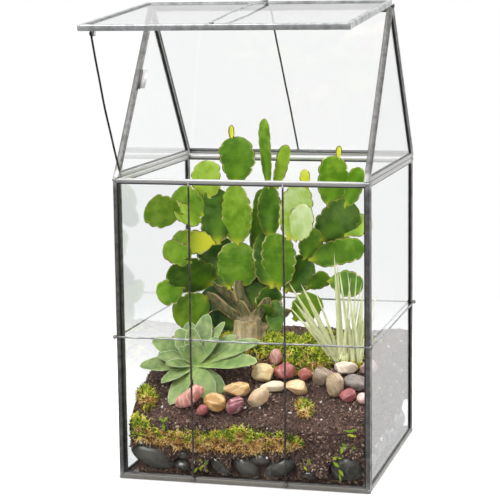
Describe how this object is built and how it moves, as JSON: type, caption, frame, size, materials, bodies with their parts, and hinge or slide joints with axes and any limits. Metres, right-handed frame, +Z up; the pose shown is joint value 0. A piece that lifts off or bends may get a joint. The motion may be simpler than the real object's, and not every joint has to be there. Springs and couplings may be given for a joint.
{
  "type": "geometric glass terrarium",
  "caption": "Glass case in metal came with a gabled roof whose front slope is a hinged, propped lid, planted with a pad cactus, rosette, air plant, moss, pebbles and soil.",
  "frame": {"origin": "middle of the pan's underside, on the surface that the case stands on", "axes": "+Z up, -Y towards the front with the hinged lid, +X to the right seen from the front"},
  "size_m": [0.2594, 0.3335, 0.4712],
  "materials": {
    "aged_came": "aged pewter-grey zinc came, dark in its seams",
    "clear_glass": "clear polished sheet glass",
    "pan_metal": "dull grey sheet",
    "dark_wire": "dark patina",
    "black_stone": "polished black stone",
    "soil": "loose dark potting soil with white perlite",
    "moss": "fibrous moss",
    "pad_green": "waxy green pads with brown rims",
    "rosette_green": "waxy grey-green leaves",
    "air_plant_green": "silvery green, matt",
    "pebble_pink": "smooth river pebble",
    "pebble_red_chip": "smooth river pebble",
    "pebble_orange": "smooth river pebble",
    "pebble_yellow": "smooth river pebble",
    "pebble_plum": "smooth river pebble",
    "pebble_sand": "smooth river pebble",
    "pebble_cream": "smooth river pebble",
    "pebble_tan": "smooth river pebble",
    "pebble_brick": "smooth river pebble",
    "pebble_rose": "smooth river pebble",
    "pebble_peach": "smooth river pebble",
    "pebble_russet": "smooth river pebble",
    "pebble_umber": "smooth river pebble",
    "pebble_striped": "smooth river pebble",
    "pebble_shell": "smooth river pebble",
    "pebble_mauve": "smooth river pebble",
    "pebble_slate": "smooth river pebble",
    "pebble_scarlet": "smooth river pebble",
    "pebble_blush": "smooth river pebble",
    "pebble_bead": "smooth river pebble"
  },
  "bodies": {
    "case": {"front_frame": "aged_came", "back_frame": "aged_came", "left_frame": "aged_came", "right_frame": "aged_came", "left_gable_frame": "aged_came", "right_gable_frame": "aged_came", "back_slope_frame": "aged_came", "back_slope_wire": "aged_came", "wire_grid": "aged_came", "hinge_pin": "aged_came", "front_glass": "clear_glass", "back_glass": "clear_glass", "left_glass": "clear_glass", "right_glass": "clear_glass", "left_gable_glass": "clear_glass", "right_gable_glass": "clear_glass", "back_slope_glass": "clear_glass", "base_pan": "pan_metal", "catch_plate": "dark_wire", "drainage_stones": "black_stone", "soil": "soil", "moss_band": "moss", "moss_mound": "moss", "moss_tuft_left": "moss", "moss_tuft_right": "moss", "cactus": "pad_green", "rosette": "rosette_green", "air_plant": "air_plant_green", "pebble_pink": "pebble_pink", "pebble_red_chip": "pebble_red_chip", "pebble_orange": "pebble_orange", "pebble_yellow": "pebble_yellow", "pebble_plum": "pebble_plum", "pebble_sand": "pebble_sand", "pebble_cream": "pebble_cream", "pebble_tan": "pebble_tan", "pebble_brick": "pebble_brick", "pebble_rose": "pebble_rose", "pebble_peach": "pebble_peach", "pebble_russet": "pebble_russet", "pebble_umber": "pebble_umber", "pebble_striped": "pebble_striped", "pebble_shell": "pebble_shell", "pebble_mauve": "pebble_mauve", "pebble_slate": "pebble_slate", "pebble_scarlet": "pebble_scarlet", "pebble_blush": "pebble_blush", "pebble_bead": "pebble_bead"},
    "lid": {"lid_frame": "aged_came", "lid_glass": "clear_glass", "lid_wire": "aged_came"},
    "prop": {"lid_prop": "dark_wire"}
  },
  "joints": [
    {"name": "lid_hinge", "type": "hinge", "parent": "case", "child": "lid", "pos_m": [0, 0, 0.463], "axis": [1, 0, 0], "range_deg": [0, 48]},
    {"name": "prop_fold", "type": "hinge", "parent": "lid", "child": "prop", "pos_m": [-0.1192, -0.19199, 0.44299], "axis": [1, 0, 0], "range_deg": [0, 60]}
  ],
  "couplings": [
    {"joint": "prop_fold", "follows": "lid_hinge", "ratio": 1.25}
  ]
}
